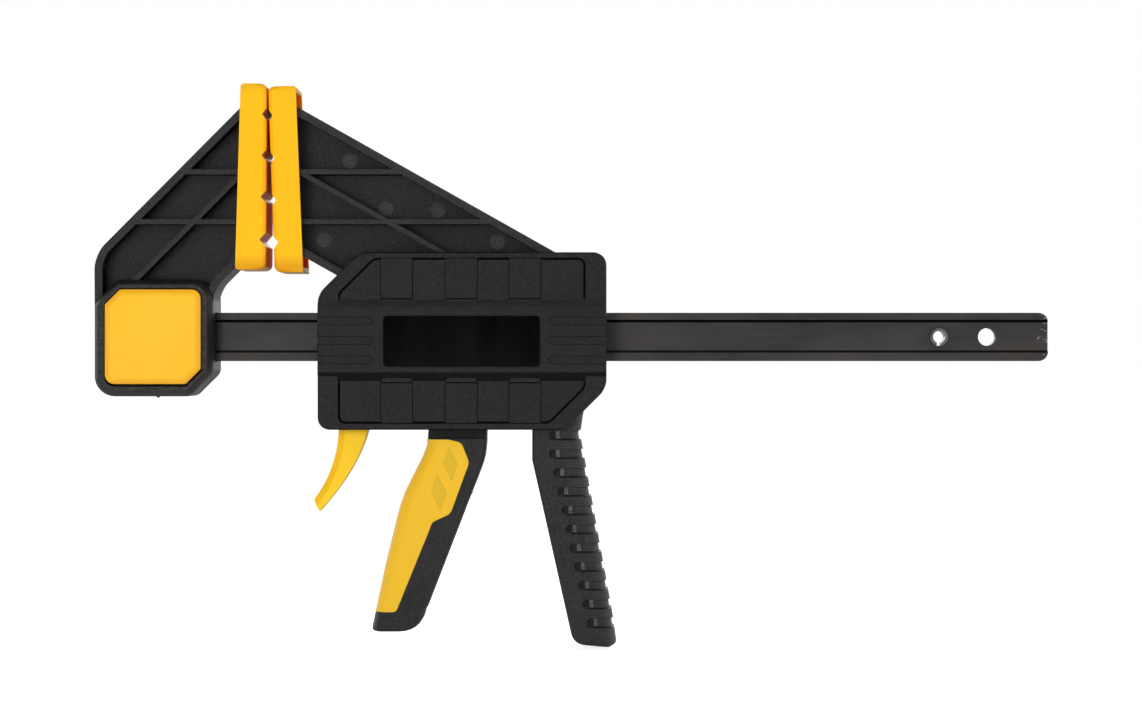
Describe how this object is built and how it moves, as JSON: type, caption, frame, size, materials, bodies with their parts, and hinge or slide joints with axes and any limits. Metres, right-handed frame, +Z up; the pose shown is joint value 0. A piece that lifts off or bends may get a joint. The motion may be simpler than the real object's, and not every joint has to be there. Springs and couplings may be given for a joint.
{
  "type": "quick release bar clamp",
  "caption": "One-handed bar clamp with a sliding ribbed jaw and trigger grip, a button-released fixed jaw, soft notched pads and a flat steel bar with an end stop.",
  "frame": {"origin": "on the bar's centreline, at the plane where the closed pads meet", "axes": "+X along the bar towards its free end with the stop pin, +Z up towards the jaw tips, the push button and the nameplate face -Y"},
  "size_m": [0.4407, 0.0401, 0.2594],
  "materials": {
    "bar_steel": "black oxide steel, rolled, lightly scratched",
    "pin_steel": "slotted spring pin",
    "steel_bright": "zinc plated steel",
    "black_nylon": "satin glass-filled nylon",
    "pad_yellow": "satin soft plastic",
    "yellow_plastic": "satin moulded plastic",
    "yellow_soft": "matt soft overmould with two textured diamonds",
    "plate_gloss": "gloss black plate"
  },
  "bodies": {
    "bar_and_fixed_jaw": {"bar": "bar_steel", "stop_pin": "pin_steel", "fixed_jaw": "black_nylon", "back_cover": "black_nylon", "back_screw_1": "steel_bright", "back_screw_2": "steel_bright", "fixed_pad": "pad_yellow", "latch_spring": "steel_bright"},
    "button": {"release_button": "yellow_plastic", "latch_plate": "steel_bright", "latch_pin": "steel_bright"},
    "sliding_jaw": {"moving_jaw": "black_nylon", "front_cover": "black_nylon", "rear_cover": "black_nylon", "nameplate": "plate_gloss", "cover_screw_1": "steel_bright", "cover_screw_2": "steel_bright", "cover_screw_3": "steel_bright", "cover_screw_4": "steel_bright", "moving_pad": "pad_yellow", "trigger_pin": "steel_bright", "drive_spring": "steel_bright", "brake_spring": "steel_bright"},
    "trigger": {"trigger_lever": "black_nylon", "trigger_grip": "black_nylon", "trigger_overmould": "yellow_soft"},
    "drive_plates": {"drive_plate_1": "steel_bright", "drive_plate_2": "steel_bright"},
    "release": {"brake_plate": "steel_bright", "release_lever": "yellow_plastic"}
  },
  "joints": [
    {"name": "jaw_slide", "type": "slide", "parent": "bar_and_fixed_jaw", "child": "sliding_jaw", "axis": [1, 0, 0], "range_m": [0, 0.15]},
    {"name": "button_slide", "type": "slide", "parent": "bar_and_fixed_jaw", "child": "button", "axis": [0, 1, 0], "range_m": [0, 0.0052], "stiffness_N_per_m": 600, "springref_m": -0.004, "deforming": ["latch_spring"]},
    {"name": "trigger_hinge", "type": "hinge", "parent": "sliding_jaw", "child": "trigger", "pos_m": [0.085, 0, 0.022], "axis": [0, -1, 0], "range_deg": [0, 16], "stiffness_Nm_per_rad": 2, "springref_deg": -11.46},
    {"name": "drive_slide", "type": "slide", "parent": "sliding_jaw", "child": "drive_plates", "axis": [1, 0, 0], "range_m": [0, 0.0062], "deforming": ["drive_spring"]},
    {"name": "release_hinge", "type": "hinge", "parent": "sliding_jaw", "child": "release", "pos_m": [0.0395, 0, 0.017], "axis": [0, -1, 0], "range_deg": [0, 9], "stiffness_Nm_per_rad": 0.5, "springref_deg": -8.59, "deforming": ["brake_spring"]}
  ],
  "couplings": [
    {"joint": "drive_slide", "follows": "trigger_hinge", "m_per_rad": 0.022}
  ]
}
